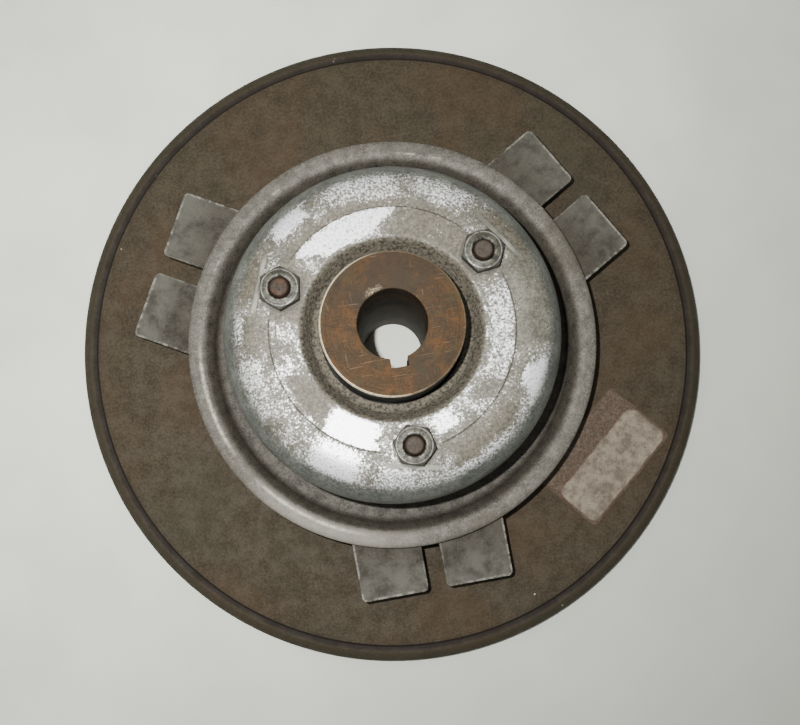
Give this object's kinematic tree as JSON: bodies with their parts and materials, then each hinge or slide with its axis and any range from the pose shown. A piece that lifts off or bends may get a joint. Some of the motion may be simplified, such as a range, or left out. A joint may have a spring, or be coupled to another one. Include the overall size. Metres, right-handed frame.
{
  "type": "electromagnetic clutch",
  "caption": "Shaft-mounted electromagnetic friction clutch: keyed hub, domed stationary field with slotted anti-rotation forks, and a wide output disc behind.",
  "frame": {"origin": "on the shaft axis, at the hub's back end, in the plane that the disc's rim stands on", "axes": "+Z along the shaft axis towards the hub's front end; -Y towards the keyway and the first fork"},
  "size_m": [0.27, 0.27, 0.0804],
  "materials": {
    "hub_steel": "rusted machined steel",
    "bearing_steel": "ground bearing steel",
    "spring_steel": "blued spring steel",
    "seal_rubber": "moulded rubber",
    "disc_iron": "brown oxidised iron",
    "armature_steel": "ground steel",
    "rotor_steel": "ground steel",
    "friction_lining": "moulded friction material",
    "field_iron": "turned soft iron",
    "former_nylon": "natural nylon",
    "coil_copper": "enamelled copper under varnish",
    "ring_zinc": "dull worn zinc plate",
    "cap_zinc": "bright worn zinc plate",
    "nut_zinc": "tarnished zinc plate",
    "stud_rust": "rusted steel thread",
    "terminal_plastic": "moulded black plastic",
    "terminal_brass": "tinned brass",
    "lead_insulation": "insulated wire",
    "label_paper": "worn paper label, blank"
  },
  "bodies": {
    "field": {"field_shell": "field_iron", "coil_former": "former_nylon", "coil_winding": "coil_copper", "field_bearing_outer_race": "bearing_steel", "field_bearing_circlip": "spring_steel", "field_flange_ring": "ring_zinc", "anti_rotation_fork_1": "ring_zinc", "anti_rotation_fork_2": "ring_zinc", "anti_rotation_fork_3": "ring_zinc", "end_cap": "cap_zinc", "cap_stud_1": "stud_rust", "cap_stud_2": "stud_rust", "cap_stud_3": "stud_rust", "cap_spacer_1": "nut_zinc", "cap_spacer_2": "nut_zinc", "cap_spacer_3": "nut_zinc", "cap_nut_1": "nut_zinc", "cap_nut_2": "nut_zinc", "cap_nut_3": "nut_zinc", "terminal_block": "terminal_plastic", "terminal_blade_1": "terminal_brass", "terminal_blade_2": "terminal_brass", "lead_grommet": "seal_rubber", "coil_lead_1": "lead_insulation", "coil_lead_2": "lead_insulation"},
    "hub": {"hub_sleeve": "hub_steel", "rotor_disc": "rotor_steel", "rotor_friction_lining": "friction_lining", "rotor_screw_1": "spring_steel", "rotor_screw_2": "spring_steel", "rotor_screw_3": "spring_steel", "bearing_spacer": "rotor_steel", "output_bearing_inner_race": "bearing_steel", "output_bearing_snap_ring": "spring_steel", "field_bearing_inner_race": "bearing_steel", "field_bearing_snap_ring": "spring_steel"},
    "output": {"output_disc": "disc_iron", "output_bearing_outer_race": "bearing_steel", "output_bearing_circlip": "spring_steel", "output_bearing_seal": "seal_rubber", "leaf_spring_1": "spring_steel", "leaf_spring_2": "spring_steel", "leaf_spring_3": "spring_steel", "spring_screw_1": "spring_steel", "spring_screw_2": "spring_steel", "spring_screw_3": "spring_steel", "rating_label": "label_paper"},
    "armature": {"armature_plate": "armature_steel", "armature_rivet_1": "spring_steel", "armature_rivet_2": "spring_steel", "armature_rivet_3": "spring_steel"},
    "field_cage": {"field_bearing_ball_cage": "bearing_steel"},
    "output_cage": {"output_bearing_ball_cage": "bearing_steel"}
  },
  "joints": [
    {"name": "hub_spin", "type": "hinge", "parent": "field", "child": "hub", "pos_m": [0, 0, 0.0485], "axis": [0, 0, 1], "continuous": true},
    {"name": "disc_spin", "type": "hinge", "parent": "hub", "child": "output", "pos_m": [0, 0, 0.0092], "axis": [0, 0, 1], "continuous": true},
    {"name": "armature_pull", "type": "slide", "parent": "output", "child": "armature", "axis": [0, 0, 1], "range_m": [0, 0.0008], "stiffness_N_per_m": 8000, "springref_m": -0.0005, "deforming": ["leaf_spring_1", "leaf_spring_2", "leaf_spring_3"]},
    {"name": "field_cage_spin", "type": "hinge", "parent": "field", "child": "field_cage", "pos_m": [0, 0, 0.0485], "axis": [0, 0, 1], "continuous": true},
    {"name": "output_cage_spin", "type": "hinge", "parent": "hub", "child": "output_cage", "pos_m": [0, 0, 0.0092], "axis": [0, 0, 1], "continuous": true}
  ],
  "couplings": [
    {"joint": "field_cage_spin", "follows": "hub_spin", "ratio": 0.4654},
    {"joint": "output_cage_spin", "follows": "disc_spin", "ratio": 0.5492}
  ]
}
